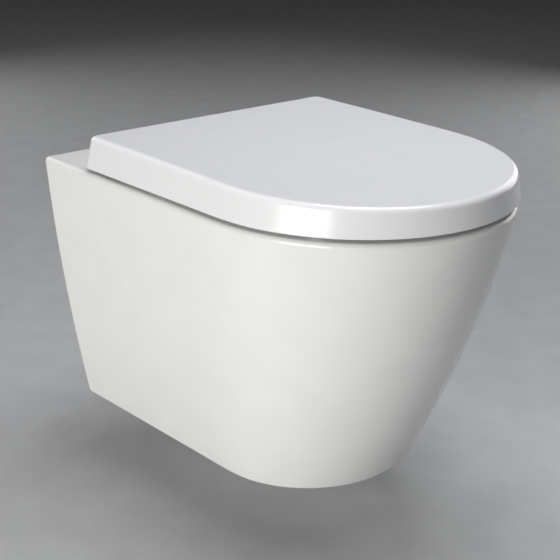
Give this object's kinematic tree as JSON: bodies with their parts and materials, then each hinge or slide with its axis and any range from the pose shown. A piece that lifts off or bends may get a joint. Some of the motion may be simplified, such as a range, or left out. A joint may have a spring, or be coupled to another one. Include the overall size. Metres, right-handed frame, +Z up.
{
  "type": "wall hung toilet",
  "caption": "Fully skirted rimless wall hung toilet pan with a D-shaped wrap-over soft-close lid, a seat ring on hidden hinges and hidden wall fixings.",
  "frame": {"origin": "on the wall plane, midway between the two wall studs, 80 mm below the top of the pan", "axes": "+Z up, +Y into the wall, +X to the right for a person facing the wall"},
  "size_m": [0.3722, 0.5189, 0.3698],
  "materials": {
    "glazed_china": "glossy white glaze",
    "white_thermoset": "glossy white",
    "soft_rubber": "matt translucent white",
    "black_rubber": "matt black",
    "white_plastic": "satin white",
    "grey_plastic": "fine satin grey",
    "black_plastic": "satin black",
    "stainless_steel": "brushed",
    "zinc_plated_steel": "zinc plated",
    "brass": "turned brass"
  },
  "bodies": {
    "pan_body": {"pan": "glazed_china", "left_hinge_block": "grey_plastic", "right_hinge_block": "grey_plastic", "left_hinge_post": "stainless_steel", "right_hinge_post": "stainless_steel", "hinge_gaskets": "soft_rubber", "hinge_bolts": "stainless_steel", "hinge_anchors": "black_rubber", "anchor_nuts": "brass", "hinge_grub_screws": "stainless_steel", "lid_damper": "black_plastic", "seat_damper": "black_plastic", "seat_hinge_pin": "stainless_steel", "lid_hinge_pin": "stainless_steel", "left_stud_carrier": "zinc_plated_steel", "right_stud_carrier": "zinc_plated_steel", "left_stud_liner": "grey_plastic", "right_stud_liner": "grey_plastic", "clamp_bushes": "brass", "clamp_screws": "zinc_plated_steel", "inlet_seal": "black_rubber"},
    "seat": {"seat_ring": "white_thermoset", "left_seat_bracket": "white_plastic", "right_seat_bracket": "white_plastic", "seat_bracket_screws": "stainless_steel", "seat_buffers": "soft_rubber", "seat_damper_shaft": "stainless_steel"},
    "lid_assembly": {"lid": "white_thermoset", "left_lid_bracket": "white_plastic", "right_lid_bracket": "white_plastic", "lid_bracket_screws": "stainless_steel", "lid_buffers": "soft_rubber", "lid_damper_shaft": "stainless_steel"}
  },
  "joints": [
    {"name": "seat_hinge", "type": "hinge", "parent": "pan_body", "child": "seat", "pos_m": [0, -0.1, 0.109], "axis": [-1, 0, 0], "range_deg": [0, 91]},
    {"name": "lid_hinge", "type": "hinge", "parent": "seat", "child": "lid_assembly", "pos_m": [0, -0.1, 0.109], "axis": [-1, 0, 0], "range_deg": [0, 95]}
  ]
}
